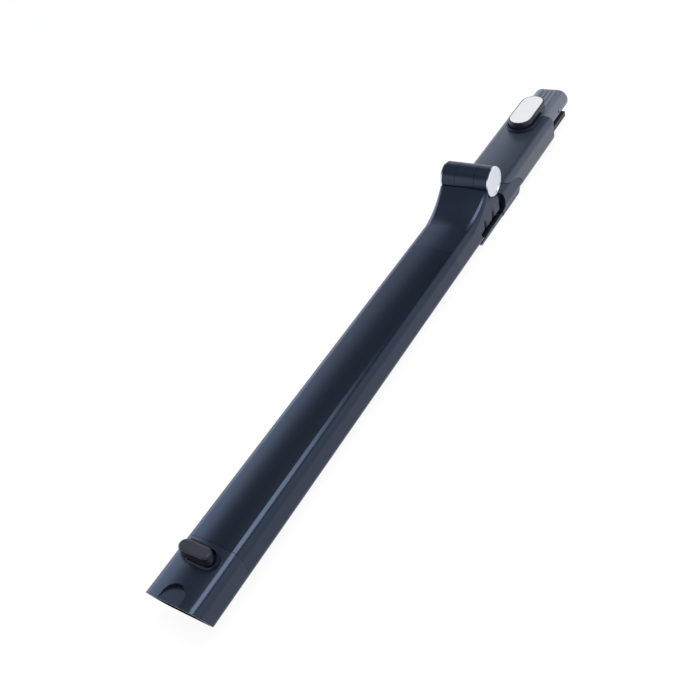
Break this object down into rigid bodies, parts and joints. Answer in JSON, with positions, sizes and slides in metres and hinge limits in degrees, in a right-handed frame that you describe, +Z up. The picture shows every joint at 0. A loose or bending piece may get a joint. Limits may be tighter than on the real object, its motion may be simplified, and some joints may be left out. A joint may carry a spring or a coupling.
{
  "type": "bending vacuum cleaner wand",
  "caption": "Flat-oval vacuum wand with a locking knee hinge, a bellows across the knee, release buttons at both ends, a floor-head socket and a ridged spigot.",
  "frame": {"origin": "below the middle of the wand's length, on the surface it lies on", "axes": "+X along the wand towards the vacuum end, +Y across it to the left, +Z up, hinge on top"},
  "size_m": [0.6769, 0.0508, 0.065],
  "materials": {
    "dark_anodised": "satin dark blue-black anodised",
    "navy_plastic": "satin blue-black",
    "charcoal_plastic": "satin charcoal",
    "black_plastic": "satin black",
    "acetal": "natural",
    "hose_rubber": "matt black",
    "lead_jacket": "matt black",
    "chrome_trim": "bright",
    "steel": "plain",
    "brass": "bright"
  },
  "bodies": {
    "lower": {"lower_tube": "dark_anodised", "lower_collar": "navy_plastic", "head_button_bezel": "black_plastic", "head_contact_block": "black_plastic", "head_contact_blades": "brass", "head_latch_pin": "steel", "head_latch_spring": "steel", "knee_lower_housing": "navy_plastic", "hinge_pin": "steel", "hinge_cap_left": "chrome_trim", "hinge_cap_right": "chrome_trim", "hose_cuff_lower": "black_plastic", "bellows_hose": "hose_rubber", "bend_lever_pin": "steel", "bend_lever_spring": "steel", "lower_lead": "lead_jacket", "collar_screws": "steel", "knee_screws": "steel"},
    "head_lever": {"head_release_button": "black_plastic", "head_latch": "black_plastic"},
    "bend_lever": {"bend_release_lever": "charcoal_plastic"},
    "upper": {"knee_upper_yoke": "charcoal_plastic", "hinge_bush_left": "acetal", "hinge_bush_right": "acetal", "bend_keeper": "charcoal_plastic", "upper_shell": "charcoal_plastic", "upper_duct": "black_plastic", "hose_cuff_upper": "black_plastic", "vacuum_spigot": "charcoal_plastic", "plug_block": "black_plastic", "plug_blades": "brass", "upper_lead": "lead_jacket", "wand_latch_pin": "steel", "wand_latch_spring": "steel", "upper_screws": "steel", "wand_button_bezel": "black_plastic"},
    "wand_lever": {"wand_latch": "black_plastic", "wand_release_button": "black_plastic", "wand_button_plate": "chrome_trim"}
  },
  "joints": [
    {"name": "bend", "type": "hinge", "parent": "lower", "child": "upper", "pos_m": [0.1405, 0, 0.0507], "axis": [0, -1, 0], "range_deg": [0, 90], "deforming": ["bellows_hose"]},
    {"name": "head_release", "type": "hinge", "parent": "lower", "child": "head_lever", "pos_m": [-0.3135, 0, 0.0304], "axis": [0, 1, 0], "range_deg": [0, 7], "stiffness_Nm_per_rad": 0.5, "springref_deg": -5.73, "deforming": ["head_latch_spring"]},
    {"name": "bend_release", "type": "hinge", "parent": "lower", "child": "bend_lever", "pos_m": [0.1235, 0, 0.0021], "axis": [0, 1, 0], "range_deg": [0, 3.5], "stiffness_Nm_per_rad": 0.5, "springref_deg": -5.73, "deforming": ["bend_lever_spring"]},
    {"name": "wand_release", "type": "hinge", "parent": "upper", "child": "wand_lever", "pos_m": [0.2735, 0, 0.0323], "axis": [0, -1, 0], "range_deg": [0, 4.5], "stiffness_Nm_per_rad": 0.5, "springref_deg": -5.73, "deforming": ["wand_latch_spring"]}
  ]
}
